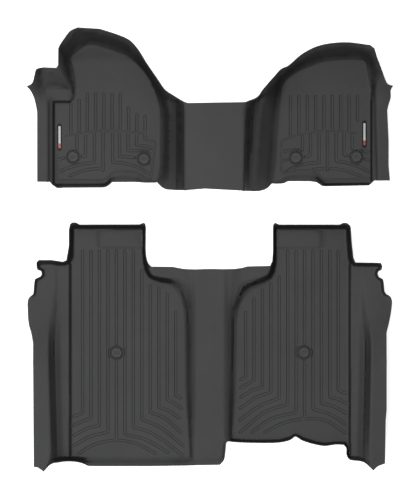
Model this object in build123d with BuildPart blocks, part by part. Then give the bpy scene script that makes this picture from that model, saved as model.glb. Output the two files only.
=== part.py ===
from build123d import *
import os

# Moulded floor mat set for a crew-cab pickup, laid out flat: a one-piece front
# liner that runs over the tunnel hump, and a one-piece rear liner behind it.
# Millimetres. +Y is forward in the vehicle, +X is to the right, +Z is up.
# The origin is the middle of the set's bounding box, at floor level.

# ---------------------------------------------------------------- driving sizes
HALF_WIDTH = 787.0          # outermost point of the set, to each side
HALF_LENGTH = 952.0         # foremost and rearmost points of the set
SHEET = 3.2                 # liner sheet thickness
TRIM = 805.0                # moulded sections run out to here, then are trimmed
LINE_GAP = 4.0              # least distance between two moulded lines

SILL = 38.0                 # height of the front liner's door-sill flanges
SILL_STEP = 20.0            # height of the narrow step inside them
HUMP = 182.0                # front tunnel hump, at its shoulders
HUMP_CROWN = 186.0          # and along its middle
HUMP_LEDGE_LOW = 104.0      # ledge half-way up the hump's sides
HUMP_LEDGE_HIGH = 116.0
DRIVER_TOE = 228.0          # top of the driver's toe wall
PASSENGER_TOE = 182.0       # top of the passenger's toe wall
FRONT_REAR_LIP = 22.0       # lip along the back of the front footwells

REAR_FLANGE = 100.0         # rear liner's side flanges
REAR_STEP = 13.0            # sharp step between the side banks and the rear floors
REAR_HUMP = 60.0            # rear tunnel hump, at the front
HUMP_TAIL = 20.0            # and at the back, before its lip
HUMP_TAIL_LIP = 36.0        # top of the lip at the hump's back end
REAR_LEDGE = 45.0           # ledges at the hump's front corners
TAB_LIP = 45.0              # lip round the two forward tabs
REAR_LIP = 28.0             # lip along the back edge
NOTCH_LIP = 22.0            # lip along the rear cut-out

# Hold-downs: a hooked base under the liner, a two-part grommet, a turn cap.
BOSS_TOP_R = 25.0
BOSS_FOOT_R = 28.0
BOSS_TOP = 8.0
BOSS_ROOM_R = 23.5
BOSS_ROOM = 5.0
BOSS_HOLE_R = 15.0
PAD_R = 20.5
PAD_TOP = 1.2
BASE_R = 21.5
BASE_TOP = 3.2
POST_R = 3.0
BAR_LENGTH = 17.6
BAR_WIDTH = 6.0
BAR_BOTTOM = 5.9
BAR_TOP = 8.6
LOWER_RING_R = 20.0
LOWER_RING_BOTTOM = 3.6
NECK_R = 14.8
NECK_BORE_R = 13.5
NECK_TOP = 7.8
UPPER_RING_R = 22.5
UPPER_RING_TOP = 9.2
SKIRT_R = 13.45
SKIRT_BOTTOM = 4.2
RING_BORE_R = 12.0
HUB_R = 11.7
HUB_BOTTOM = 4.0
HUB_ROOM_R = 9.2
HUB_ROOM_BOTTOM = 5.6
HUB_ROOM_TOP = 9.4
SLOT_WIDTH = 6.8
CAP_R = 20.0
CAP_BOTTOM = 9.5
CAP_TOP = 13.0
GRIP_TOP = 15.5
GRIP_WIDTH = 7.0
GRIP_LENGTH = 27.0
FLUTE_R = 2.6
FLUTES = 12

HOLD_DOWNS = {
    "driver_outer": (-589.0, 401.0),
    "driver_inner": (-284.0, 392.0),
    "passenger_inner": (370.0, 397.0),
    "passenger_outer": (630.0, 401.0),
    "rear_left": (-402.0, -442.0),
    "rear_right": (404.0, -440.0),
}

# Badges: a dark plate with a plain light stripe and a small coloured tile.
BADGES = {"driver_badge": (-647.0, 485.0), "passenger_badge": (664.0, 498.0)}
PLATE_LENGTH = 118.0
PLATE_WIDTH = 20.0
PLATE_THICK = 1.6
PLATE_POCKET = 0.8
STRIPE_LENGTH = 74.0
STRIPE_WIDTH = 9.0
ACCENT_LENGTH = 20.0
INLAY_GAP = 0.1
INLAY_PROUD = 0.2


# -------------------------------------------------------------------- helpers
def between(points, y):
    """Value of a line of (y, value) points at y, straight between them."""
    if y <= points[0][0]:
        return points[0][1]
    for (y0, v0), (y1, v1) in zip(points, points[1:]):
        if y <= y1:
            return v0 + (v1 - v0) * (y - y0) / (y1 - y0)
    return points[-1][1]


def sheet_section(line, thick):
    """Closed outline of a sheet: the underside, then the mitred upper side."""
    normals = []
    for (x0, z0), (x1, z1) in zip(line, line[1:]):
        normals.append(Vector(z0 - z1, x1 - x0).normalized())
    upper = []
    for i, (x, z) in enumerate(line):
        before = normals[max(i - 1, 0)]
        after = normals[min(i, len(normals) - 1)]
        middle = (before + after).normalized()
        reach = thick / middle.dot(after)
        upper.append((x + middle.X * reach, z + middle.Y * reach))
    return list(line) + upper[::-1]


def section_line(lines, y):
    """The sheet's underside across the liner at y, its lines kept apart."""
    line = []
    for xs, zs in lines:
        x = between(xs, y)
        if line:
            x = max(x, line[-1][0] + LINE_GAP)
        line.append((x, between(zs, y)))
    return line


def closed_outline(runs):
    """Straight runs and curved runs, end to end, as one closed outline."""
    with BuildLine() as edge:
        for kind, points in runs:
            if kind == "curve":
                Spline(*points)
            else:
                Polyline(*points)
    return edge


# ------------------------------------------------- front liner: moulded lines
# Each moulded line runs fore and aft: (y, x) points and (y, height) points.
toe_floor = [(678, 0), (721, 6), (807, 26), (876, 66), (948, DRIVER_TOE)]
foot_rest = [(636, SILL_STEP), (645, 14), (657, 18), (777, 88)]

driver_lines = [
    ([(0, -TRIM)], [(601, SILL), (700, 100), (786, 118), (816, 135), (876, 195), (948, DRIVER_TOE)]),
    ([(592, -697), (645, -712), (665, -745), (783, -746), (800, -660)],
     [(601, SILL), (665, 80), (786, 118), (816, 135), (876, 195), (948, DRIVER_TOE)]),
    ([(592, -688), (645, -700), (665, -722), (783, -722), (800, -655)],
     [(592, SILL_STEP), (657, 22), (777, 90), (800, 118), (816, 135), (876, 195), (948, DRIVER_TOE)]),
    ([(636, -675), (645, -600), (657, -594), (687, -606), (730, -632), (777, -652), (800, -648),
      (868, -645), (910, -618), (948, -584)],
     foot_rest + [(800, 118), (816, 135), (876, 195), (948, DRIVER_TOE)]),
    ([(636, -667), (645, -590), (687, -583), (708, -580), (751, -589), (816, -602), (829, -593),
      (859, -563), (876, -535), (884, -515)],
     [(270, FRONT_REAR_LIP), (296, 0)] + toe_floor),
    ([(860, -447), (884, -513)], [(270, FRONT_REAR_LIP), (296, 0)] + toe_floor),
    ([(848, -420), (863, -430), (884, -510)], [(293, FRONT_REAR_LIP), (330, 0)] + toe_floor),
    ([(291, -223), (364, -213), (592, -213), (631, -219), (674, -232), (713, -249), (751, -267),
      (790, -301), (829, -344), (848, -387), (863, -430), (884, -507)],
     [(260, 40), (293, FRONT_REAR_LIP), (330, 0)] + toe_floor),
    ([(592, -163), (631, -172), (713, -234), (790, -286), (829, -318), (876, -400), (900, -450)],
     [(631, HUMP_LEDGE_LOW), (713, 96), (790, 118), (876, 165), (948, DRIVER_TOE)]),
    ([(592, -138), (631, -148), (713, -226), (790, -276), (829, -303), (876, -360), (900, -400)],
     [(631, HUMP_LEDGE_HIGH), (713, 130), (790, 155), (876, 190), (948, DRIVER_TOE)]),
    ([(592, -107), (631, -112), (713, -212), (790, -262), (829, -285), (876, -318), (948, -340)],
     [(631, HUMP), (713, 176), (790, 190), (876, 210), (948, DRIVER_TOE)]),
]
hump_crown = ([(0, 18)], [(631, HUMP_CROWN), (790, 190), (948, PASSENGER_TOE)])
passenger_floor = [(690, 0), (713, 3), (816, 28), (887, PASSENGER_TOE)]
passenger_lines = [
    ([(592, 146), (631, 150), (687, 224), (747, 276), (790, 330), (842, 396), (887, 500)],
     [(631, HUMP), (713, 160), (790, 165), (887, PASSENGER_TOE)]),
    ([(334, 163), (631, 189), (713, 270), (747, 300), (790, 366), (842, 440), (887, 520)],
     [(631, HUMP_LEDGE_HIGH), (713, 116), (790, 125), (887, PASSENGER_TOE)]),
    ([(334, 189), (631, 219), (713, 288), (747, 318), (790, 398), (842, 480), (887, 525)],
     [(631, HUMP_LEDGE_LOW), (713, 78), (790, 90), (887, PASSENGER_TOE)]),
    ([(287, 267), (364, 280), (472, 288), (601, 297), (665, 305), (713, 314), (747, 344),
      (773, 387), (790, 430), (807, 473), (816, 530)],
     [(260, 40), (296, FRONT_REAR_LIP), (343, 0)] + passenger_floor),
    ([(780, 434), (807, 480), (816, 535)], [(296, FRONT_REAR_LIP), (343, 0)] + passenger_floor),
    ([(790, 478), (807, 490), (816, 540)], [(277, FRONT_REAR_LIP), (293, 0)] + passenger_floor),
    ([(640, 690), (657, 703), (678, 697), (730, 684), (782, 671), (816, 672), (887, 690)],
     [(277, FRONT_REAR_LIP), (293, 0)] + passenger_floor),
    ([(640, 697), (657, 712), (678, 708), (730, 700), (782, 690), (829, 692), (887, 697)],
     [(657, SILL_STEP), (700, 30), (730, 45), (816, 95), (887, PASSENGER_TOE)]),
    ([(300, 715), (644, 704), (657, 726), (678, 722), (730, 716), (782, 706), (829, 702), (887, 704)],
     [(644, SILL_STEP), (657, 34), (700, 60), (782, 110), (887, PASSENGER_TOE)]),
    ([(300, 722), (644, 712), (657, 740), (678, 742), (730, 746), (782, 731), (829, 712), (887, 712)],
     [(631, SILL), (657, 44), (700, 78), (782, 135), (887, PASSENGER_TOE)]),
    ([(0, TRIM)], [(631, SILL), (700, 90), (782, 140), (887, PASSENGER_TOE)]),
]
front_lines = driver_lines + [hump_crown] + passenger_lines
front_stations = [240, 270, 277, 293, 296, 330, 343, 592, 601, 631, 645, 657, 678, 713,
                  730, 751, 782, 800, 816, 829, 848, 863, 876, 887, 960]
front_thickness = [(690, SHEET), (816, 4.0), (876, 5.0), (960, 6.0)]

front_outline = [
    ("line", [(-743, 293), (-743, 592)]),
    ("curve", [(-743, 592), (-748, 620), (-757, 655), (-770, 682), (-HALF_WIDTH, 702)]),
    ("curve", [(-HALF_WIDTH, 702), (-762, 716), (-752, 750), (-744, 774), (-722, 783)]),
    ("line", [(-722, 783), (-660, 781), (-650, 795), (-649, 864)]),
    ("curve", [(-649, 864), (-640, 882), (-619, 912), (-598, 938), (-568, HALF_LENGTH)]),
    ("line", [(-568, HALF_LENGTH), (-473, 946)]),
    ("curve", [(-473, 946), (-396, 921), (-346, 898), (-310, 859), (-275, 803), (-228, 734),
               (-193, 685), (-160, 663), (-124, 641), (-95, 631)]),
    ("line", [(-95, 631), (155, 635)]),
    ("curve", [(155, 635), (204, 655), (228, 687), (280, 747), (308, 776), (335, 788), (400, 842),
               (473, 876), (580, 889), (688, 877)]),
    ("line", [(688, 877), (705, 863), (714, 829), (757, 721)]),
    ("curve", [(757, 721), (766, 711), (HALF_WIDTH, 704)]),
    ("curve", [(HALF_WIDTH, 704), (777, 687), (777, 655), (768, 625), (762, 601)]),
    ("line", [(762, 601), (768, 470), (768, 364), (774, 298), (705, 298), (688, 281),
              (482, 276), (460, 292), (434, 296), (335, 297), (314, 286), (267, 287)]),
    ("curve", [(267, 287), (247, 266), (216, 253), (159, 253), (-21, 263), (-107, 256), (-190, 261),
               (-228, 291)]),
    ("line", [(-228, 291), (-300, 291), (-421, 293), (-438, 278), (-452, 270), (-658, 268),
              (-675, 278), (-688, 293), (-743, 293)]),
]

# -------------------------------------------------- rear liner: moulded lines
tab_floor = [(88, 0), (108, TAB_LIP)]
front_lip = [(-45, TAB_LIP)]
flange_height = [(-480, REAR_FLANGE), (-390, 76), (-345, 58), (-300, 40), (-260, 31),
                 (-216, 25), (-182, 21), (-55, 18)] + front_lip
upper_wall = [(-928, 88), (-889, 78), (-480, 78), (-390, 58), (-300, 33), (-230, 24),
              (-182, 20), (-55, 17)] + front_lip
middle_wall = [(-928, 76), (-889, 35), (-480, 35), (-390, 28), (-260, 17), (-182, 15),
               (-55, 14)] + front_lip
lower_wall = [(-928, 66), (-889, 16), (-480, 16), (-390, 15), (-216, 14), (-55, 14)] + front_lip
bank = [(-928, 62), (-889, 12), (-480, 12), (-216, 13), (-55, 13)] + front_lip
step_crest = [(-928, 62), (-889, REAR_STEP), (-55, REAR_STEP)] + front_lip
left_corner_floor = [(-928, 80), (-906, 60), (-889, 0)] + tab_floor
right_corner_floor = [(-928, 48), (-906, 31), (-889, 0)] + tab_floor
left_pan_floor = [(-928, REAR_LIP), (-889, 0)] + tab_floor
right_pan_floor = [(-836, NOTCH_LIP), (-812, 0)] + tab_floor
hump_height = [(-928, HUMP_TAIL_LIP), (-889, HUMP_TAIL), (-700, 46), (-400, 58), (-240, REAR_HUMP)]
ledge_height = [(-928, 36), (-889, 10), (-700, 23), (-340, 29), (-240, 36), (-203, 40),
                (-151, REAR_LEDGE), (108, TAB_LIP)]

rear_lines = [
    ([(0, -TRIM)], flange_height),
    ([(-850, -683), (-480, -694), (-390, -694), (-345, -692), (-300, -688), (-260, -684),
      (-216, -677), (-182, -668)], flange_height),
    ([(-850, -674), (-390, -684), (-300, -677), (-230, -668)], upper_wall),
    ([(-850, -655), (-480, -664), (-390, -664), (-260, -660), (-182, -654), (-66, -652)],
     middle_wall),
    ([(-850, -632), (-480, -640), (-390, -640), (-216, -636), (-66, -634)], lower_wall),
    ([(-889, -611), (-480, -615)], bank),
    ([(0, -606)], step_crest),
    ([(-55, -597), (-40, -587)], left_corner_floor),
    ([(-55, -560), (-40, -577)], left_pan_floor),
    ([(-889, -86), (-760, -95), (-600, -105), (-340, -107), (-260, -112), (-222, -120),
      (-182, -139), (-147, -182), (-139, -215), (-121, -262), (-72, -268), (-40, -286)],
     left_pan_floor),
    ([(-889, -81.5), (-340, -92), (-203, -95), (-160, -105), (-126, -116), (-117, -215),
      (-108, -249), (-72, -258), (-40, -276)], ledge_height),
    ([(0, -77)], hump_height),
    ([(0, 77)], hump_height),
    ([(-836, 86), (-600, 92), (-300, 94), (-240, 99), (-203, 112), (-151, 129), (-134, 150),
      (-121, 206), (-104, 249), (-72, 256), (-40, 275)], ledge_height),
    ([(-836, 95), (-600, 107), (-300, 112), (-240, 125), (-207, 142), (-173, 172),
      (-147, 224), (-127, 262), (-72, 268), (-40, 285)], right_pan_floor),
    ([(-55, 584), (-40, 577)], right_pan_floor),
    ([(-55, 597), (-40, 588)], right_corner_floor),
    ([(0, 605)], step_crest),
    ([(-889, 609), (-480, 613)], bank),
    ([(-850, 631), (-480, 638), (-390, 638), (-216, 632), (-66, 630)], lower_wall),
    ([(-850, 654), (-480, 662), (-390, 662), (-260, 654), (-182, 648), (-66, 645)],
     middle_wall),
    ([(-850, 674), (-480, 682), (-390, 682), (-300, 672), (-230, 662)], upper_wall),
    ([(-850, 684), (-480, 692), (-410, 692), (-345, 688), (-300, 684), (-260, 679),
      (-216, 673), (-172, 667), (-66, 658)], flange_height),
    ([(0, TRIM)], flange_height),
]
rear_stations = [-960, -928, -906, -889, -836, -812, -480, -390, -345, -300, -260, -230,
                 -182, -147, -134, -127, -117, -72, -55, -45, -40, 88, 108, 125]
rear_thickness = [(-60, SHEET), (88, SHEET), (108, 5.0)]

rear_outline = [
    ("line", [(-604, 93), (-600, 111), (-592, 117), (-576, 117), (-562, 107), (-301, 108),
              (-288, 117), (-278, 113), (-279, 0)]),
    ("curve", [(-279, 0), (-276, -30), (-268, -57), (-252, -71)]),
    ("line", [(-252, -71), (-159, -72)]),
    ("curve", [(-159, -72), (-125, -79), (-86, -83), (0, -81), (86, -82), (130, -78), (162, -70)]),
    ("line", [(162, -70), (260, -68), (270, -50), (273, 0), (273, 111), (280, 117), (297, 107),
              (559, 107), (572, 115), (589, 115), (602, 102), (606, 42), (614, -35),
              (624, -56), (735, -57), (740, -70), (737, -86), (722, -90), (718, -102),
              (724, -118), (743, -126), (748, -177), (757, -190)]),
    ("curve", [(757, -190), (773, -198), (782, -215), (780, -255), (770, -311), (759, -354)]),
    ("line", [(759, -354), (759, -685), (755, -732), (752, -917), (722, -928), (701, -947),
              (679, -926)]),
    ("curve", [(679, -926), (662, -913), (640, -906), (602, -900), (589, -880), (588, -850),
               (575, -835)]),
    ("curve", [(575, -835), (540, -834), (494, -840), (450, -833), (400, -818), (366, -800),
               (345, -814), (301, -825), (193, -827), (77, -820)]),
    ("line", [(77, -820), (67, -831), (62, -885)]),
    ("curve", [(62, -885), (58, -905), (43, -923)]),
    ("line", [(43, -923), (-258, -928), (-525, -928)]),
    ("curve", [(-525, -928), (-550, -914), (-602, -906), (-645, -910), (-685, -922),
               (-714, -HALF_LENGTH)]),
    ("line", [(-714, -HALF_LENGTH), (-740, -934), (-757, -932), (-760, -400)]),
    ("curve", [(-760, -400), (-768, -358), (-779, -318), (-783, -270), (-781, -210), (-757, -188)]),
    ("line", [(-757, -188), (-752, -126), (-727, -116), (-720, -104), (-724, -89), (-742, -84),
              (-744, -53), (-735, -44), (-688, -44), (-632, -53), (-615, -46), (-604, 20),
              (-604, 93)]),
]


# --------------------------------------------------------------------- liners
def section_face(lines, thickness, y):
    """The sheet's cross-section at y, with every moulded line a corner of it."""
    section = sheet_section(section_line(lines, y), between(thickness, y))
    with BuildLine(Plane.XZ.offset(-y)):
        edge = Polyline(*section, close=True)
    return Face(edge)


def moulded_bay(lines, thickness, y_near, y_far):
    """The sheet between two neighbouring cross-sections, ruled."""
    ends = [section_face(lines, thickness, y) for y in (y_near, y_far)]
    with BuildPart() as bay:
        loft(sections=ends, ruled=True, clean=False)
    return bay.part


def liner(lines, stations, thickness, outline, spots, tall):
    """One moulded liner: joined bays, trimmed to its outline, and bossed."""
    bays = [moulded_bay(lines, thickness, *pair) for pair in zip(stations, stations[1:])]
    with BuildPart() as shell:
        add(bays, clean=False)
        with BuildSketch(Plane.XY.offset(-1.0)):
            add(closed_outline(outline).line)
            make_face()
        extrude(amount=tall, mode=Mode.INTERSECT, clean=False)
        for x, y in spots:
            with BuildSketch(Plane.XY):
                with Locations((x, y)):
                    Circle(BOSS_FOOT_R)
            with BuildSketch(Plane.XY.offset(BOSS_TOP)):
                with Locations((x, y)):
                    Circle(BOSS_TOP_R)
            loft()
            with BuildSketch(Plane.XY):
                with Locations((x, y)):
                    Circle(BOSS_ROOM_R)
            extrude(amount=BOSS_ROOM, mode=Mode.SUBTRACT)
            with BuildSketch(Plane.XY):
                with Locations((x, y)):
                    Circle(BOSS_HOLE_R)
            extrude(amount=2 * BOSS_TOP, mode=Mode.SUBTRACT)
    return shell


def save(part, name):
    part.part.label = name
    export_step(part.part, f"parts/{name}.step")


os.makedirs("parts", exist_ok=True)

front_spots = [spot for name, spot in HOLD_DOWNS.items() if not name.startswith("rear")]
rear_spots = [spot for name, spot in HOLD_DOWNS.items() if name.startswith("rear")]
front_liner = liner(front_lines, front_stations, front_thickness, front_outline,
                    front_spots, 1.0 + 2 * DRIVER_TOE)
save(front_liner, "front_liner")
rear_liner = liner(rear_lines, rear_stations, rear_thickness, rear_outline,
                   rear_spots, 1.0 + 2 * REAR_HUMP)
save(rear_liner, "rear_liner")


# ----------------------------------------------------------------- hold-downs
def round_slab(at, radius, bottom, top, bore=0.0):
    """Round slab standing at one place, with an optional bore through it."""
    with BuildPart() as slab:
        with BuildSketch(Plane.XY.offset(bottom)):
            with Locations(at):
                Circle(radius)
                if bore:
                    Circle(bore, mode=Mode.SUBTRACT)
        extrude(amount=top - bottom)
    return slab.part


def hook_pad(at):
    """Round pad of grip tape that holds the base to the carpet."""
    with BuildPart() as pad:
        add(round_slab(at, PAD_R, 0.0, PAD_TOP))
    return pad


def base_post(at):
    """Base disc with a post and a cross bar that the cap turns under."""
    with BuildPart() as base:
        add(round_slab(at, BASE_R, PAD_TOP, BASE_TOP))
        rim = base.edges().group_by(Axis.Z)[-1]
        chamfer(rim, 0.6)
        with BuildSketch(Plane.XY.offset(BASE_TOP)):
            with Locations(at):
                Circle(POST_R)
        extrude(amount=BAR_BOTTOM - BASE_TOP)
        with BuildSketch(Plane.XY.offset(BAR_BOTTOM)):
            with Locations(at):
                SlotOverall(BAR_LENGTH, BAR_WIDTH)
        extrude(amount=BAR_TOP - BAR_BOTTOM)
        chamfer(base.edges().group_by(Axis.Z)[-1], 0.5)
    return base


def lower_ring(at):
    """Lower half of the grommet: a flange under the liner and a neck."""
    with BuildPart() as ring:
        add(round_slab(at, LOWER_RING_R, LOWER_RING_BOTTOM, BOSS_ROOM, NECK_BORE_R))
        add(round_slab(at, NECK_R, BOSS_ROOM, NECK_TOP, NECK_BORE_R))
    return ring


def upper_ring(at):
    """Upper half of the grommet: a flange on the boss and a skirt."""
    with BuildPart() as ring:
        add(round_slab(at, UPPER_RING_R, BOSS_TOP, UPPER_RING_TOP, RING_BORE_R))
        top = ring.edges().group_by(Axis.Z)[-1].sort_by(SortBy.RADIUS)[-1]
        chamfer(top, 0.7)
        add(round_slab(at, SKIRT_R, SKIRT_BOTTOM, BOSS_TOP, RING_BORE_R))
    return ring


def turn_cap(at):
    """Quarter-turn cap: fluted head, grip bar, and a hub slotted for the bar."""
    with BuildPart() as cap:
        add(round_slab(at, CAP_R, CAP_BOTTOM, CAP_TOP))
        chamfer(cap.edges().group_by(Axis.Z)[-1], 1.0)
        with BuildSketch(Plane.XY.offset(CAP_BOTTOM)):
            with Locations(at):
                with PolarLocations(CAP_R + 1.0, FLUTES):
                    Circle(FLUTE_R)
        extrude(amount=CAP_TOP, mode=Mode.SUBTRACT)
        with BuildSketch(Plane.XY.offset(CAP_TOP - 1.2)):
            with Locations(at):
                Circle(CAP_R - 4.2)
        extrude(amount=CAP_TOP, mode=Mode.SUBTRACT)
        with BuildSketch(Plane.XY.offset(CAP_TOP - 1.2)):
            with Locations(at):
                SlotOverall(GRIP_LENGTH, GRIP_WIDTH)
        extrude(amount=GRIP_TOP - CAP_TOP + 1.2, taper=6)
        fillet(cap.edges().group_by(Axis.Z)[-1], 0.8)
        add(round_slab(at, HUB_R, HUB_BOTTOM, CAP_BOTTOM))
        add(round_slab(at, HUB_ROOM_R, HUB_ROOM_BOTTOM, HUB_ROOM_TOP), mode=Mode.SUBTRACT)
        with BuildSketch(Plane.XY.offset(HUB_BOTTOM)):
            with Locations(at):
                SlotOverall(2 * HUB_ROOM_R, SLOT_WIDTH, rotation=90)
        extrude(amount=HUB_ROOM_BOTTOM - HUB_BOTTOM, mode=Mode.SUBTRACT)
    return cap


PIECES = {
    "hook_pad": hook_pad,
    "base_post": base_post,
    "lower_ring": lower_ring,
    "upper_ring": upper_ring,
    "turn_cap": turn_cap,
}

for place, spot in HOLD_DOWNS.items():
    for piece, make in PIECES.items():
        save(make(spot), f"{place}_{piece}")


# --------------------------------------------------------------------- badges
def badge_plate(at):
    """Round-ended plate with a shallow pocket for its two inlays."""
    with BuildPart() as plate:
        with BuildSketch(Plane.XY.offset(SHEET)):
            with Locations(at):
                SlotOverall(PLATE_LENGTH, PLATE_WIDTH, rotation=90)
        extrude(amount=PLATE_THICK)
        chamfer(plate.edges().group_by(Axis.Z)[-1], 0.5)
        length = STRIPE_LENGTH + ACCENT_LENGTH + 3 * INLAY_GAP
        with BuildSketch(Plane.XY.offset(SHEET + PLATE_THICK)):
            with Locations(at):
                Rectangle(STRIPE_WIDTH + 2 * INLAY_GAP, length)
        extrude(amount=-PLATE_POCKET, mode=Mode.SUBTRACT)
    return plate


def inlay(at, length, offset):
    """Flat tile in the plate's pocket, offset along the plate."""
    with BuildPart() as tile:
        with BuildSketch(Plane.XY.offset(SHEET + PLATE_THICK - PLATE_POCKET)):
            with Locations((at[0], at[1] + offset)):
                Rectangle(STRIPE_WIDTH, length)
        extrude(amount=PLATE_POCKET + INLAY_PROUD)
        chamfer(tile.edges().group_by(Axis.Z)[-1], 0.15)
    return tile


for name, spot in BADGES.items():
    save(badge_plate(spot), f"{name}_plate")
    save(inlay(spot, STRIPE_LENGTH, (ACCENT_LENGTH + INLAY_GAP) / 2), f"{name}_stripe")
    save(inlay(spot, ACCENT_LENGTH, -(STRIPE_LENGTH + INLAY_GAP) / 2), f"{name}_accent")
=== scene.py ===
"""Floor mat set: two moulded liners, their hold-downs and their badges."""

import logging
import math
from dataclasses import dataclass, field
from enum import Enum

import bmesh
import bpy
import numpy as np
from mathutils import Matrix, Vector, kdtree
from mathutils.geometry import delaunay_2d_cdt

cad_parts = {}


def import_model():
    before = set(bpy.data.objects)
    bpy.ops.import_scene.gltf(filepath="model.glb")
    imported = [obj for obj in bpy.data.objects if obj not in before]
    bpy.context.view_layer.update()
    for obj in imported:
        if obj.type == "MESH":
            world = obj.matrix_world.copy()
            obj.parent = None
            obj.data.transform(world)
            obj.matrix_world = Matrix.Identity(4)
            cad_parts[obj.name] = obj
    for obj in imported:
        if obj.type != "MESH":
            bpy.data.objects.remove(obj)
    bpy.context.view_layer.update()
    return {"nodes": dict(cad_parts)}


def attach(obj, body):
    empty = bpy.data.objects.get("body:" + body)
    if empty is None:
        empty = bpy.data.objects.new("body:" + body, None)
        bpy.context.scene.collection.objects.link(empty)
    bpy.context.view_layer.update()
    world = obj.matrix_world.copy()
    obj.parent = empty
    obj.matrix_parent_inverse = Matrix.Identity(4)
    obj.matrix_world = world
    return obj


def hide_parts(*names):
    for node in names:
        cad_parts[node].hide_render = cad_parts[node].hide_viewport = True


LOG = logging.getLogger("floor_mats")
MM = 0.001              # one millimetre, in metres; all plan sizes below are in millimetres
SHEET = 3.2             # thickness of the moulded sheet
LINE_STEP = 7.0         # largest spacing of points along a pressed line
CHANNEL_STEP = 9.0      # and along the middle of a channel
ROWS = ((3.2, 2.6), (8.0, 4.0), (13.0, 4.4))  # each row beside a crease: its distance and least gap
ROUNDING_REACH = 5.0    # how far a height feels its neighbours' while a crease is rounded
ROUNDING_HOLD = 0.35    # and how strongly it keeps to its own
SHARP_ANGLE = 32.0      # edges sharper than this, in degrees, stay crisp
SPIKE_LIMIT = 1.5       # most that the sheet may thicken at a corner, as a share of itself
FLANK_DROP = 0.9        # a face that falls further than this into a channel is on its flank, which gets painted shade
STEEP_UP = (0.02, 0.9)  # how far up the steep side of a fold faces, where the liner gets painted shade
Point = tuple[float, float, float]
Spot = tuple[float, float]
Path = tuple[Point, ...]


# ------------------------------------------------------------------ drawing aids
class Bend(Enum):
    """How a pressed line runs between its points."""

    STRAIGHT = "straight"
    SMOOTH = "smooth"


@dataclass(frozen=True)
class Run:
    """One stretch of a pressed line, as points of x, y and height in millimetres."""

    points: Path
    bend: Bend = Bend.STRAIGHT

    def sample(self, step: float) -> np.ndarray:
        """Points along the run, evenly spaced.

        Args:
            step: the largest spacing, in millimetres.

        Returns:
            An array of points, both ends among them.
        """
        pts = np.array(self.points, float)
        if self.bend is Bend.SMOOTH:
            pts = smooth_through(pts)
        return evenly(pts, step, keep_corners=self.bend is Bend.STRAIGHT)


def line(*points: Point) -> Run:
    """A run that is straight from point to point."""
    return Run(points)


def curve(*points: Point) -> Run:
    """A run that passes smoothly through its points."""
    return Run(points, Bend.SMOOTH)


def smooth_through(pts: np.ndarray, parts: int = 16) -> np.ndarray:
    """A centripetal Catmull-Rom curve through some points.

    Args:
        pts: the points.
        parts: how many pieces each span is cut into.

    Returns:
        The points of the curve.
    """
    ends = np.vstack([2 * pts[0] - pts[1], pts, 2 * pts[-1] - pts[-2]])
    out = [pts[0]]
    for p0, p1, p2, p3 in zip(ends, ends[1:], ends[2:], ends[3:]):
        t1 = math.sqrt(max(np.linalg.norm(p1 - p0), 1e-6))
        t2 = t1 + math.sqrt(max(np.linalg.norm(p2 - p1), 1e-6))
        t3 = t2 + math.sqrt(max(np.linalg.norm(p3 - p2), 1e-6))
        for t in np.linspace(t1, t2, parts + 1)[1:]:
            a1 = p0 + (p1 - p0) * t / t1
            a2 = p1 + (p2 - p1) * (t - t1) / (t2 - t1)
            a3 = p2 + (p3 - p2) * (t - t2) / (t3 - t2)
            b1 = a1 + (a2 - a1) * t / t2
            b2 = a2 + (a3 - a2) * (t - t1) / (t3 - t1)
            out.append(b1 + (b2 - b1) * (t - t1) / (t2 - t1))
    return np.array(out)


def evenly(pts: np.ndarray, step: float, keep_corners: bool = False) -> np.ndarray:
    """A chain of points again, at an even spacing.

    Args:
        pts: the points of the chain.
        step: the largest spacing.
        keep_corners: True to keep each given point.

    Returns:
        The new points.
    """
    if keep_corners:
        spans = [evenly(np.array(pair), step)[:-1] for pair in zip(pts, pts[1:])]
        return np.vstack(spans + [pts[-1:]])
    along = np.concatenate([[0], np.cumsum(np.linalg.norm(np.diff(pts[:, :2], axis=0), axis=1))])
    count = max(1, math.ceil(along[-1] / step))
    want = np.linspace(0, along[-1], count + 1)
    return np.column_stack([np.interp(want, along, pts[:, k]) for k in range(3)])


def chain(runs: tuple[Run, ...], step: float) -> np.ndarray:
    """The points of several runs that follow each other."""
    parts = [run.sample(step) for run in runs]
    return np.vstack([parts[0]] + [part[1:] for part in parts[1:]])


def ring_round(path: np.ndarray, half: float) -> np.ndarray:
    """A closed loop round an open path, at one distance from it, with round ends.

    Args:
        path: the points of the path.
        half: the distance.

    Returns:
        The points of the loop.
    """
    along = np.gradient(path[:, :2], axis=0)
    along /= np.linalg.norm(along, axis=1)[:, None]
    side = np.column_stack([-along[:, 1], along[:, 0]])
    left = path.copy()
    left[:, :2] += side * half
    right = path[::-1].copy()
    right[:, :2] -= side[::-1] * half
    cap = []
    for end, tangent, normal in ((-1, along[-1], side[-1]), (0, -along[0], -side[0])):
        fan = []
        for angle in (45, 90, 135):
            turn = math.radians(angle)
            spot = path[end].copy()
            spot[:2] += half * (normal * math.cos(turn) + tangent * math.sin(turn))
            fan.append(spot)
        cap.append(np.array(fan))
    return np.vstack([left, cap[0], right, cap[1]])


def circle(at: Spot, radius: float, height: float, count: int = 48) -> np.ndarray:
    """The points of a level circle."""
    turn = np.linspace(0, 2 * math.pi, count, endpoint=False)
    flat = np.column_stack([at[0] + radius * np.cos(turn), at[1] + radius * np.sin(turn)])
    return np.column_stack([flat, np.full(count, height)])


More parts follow.
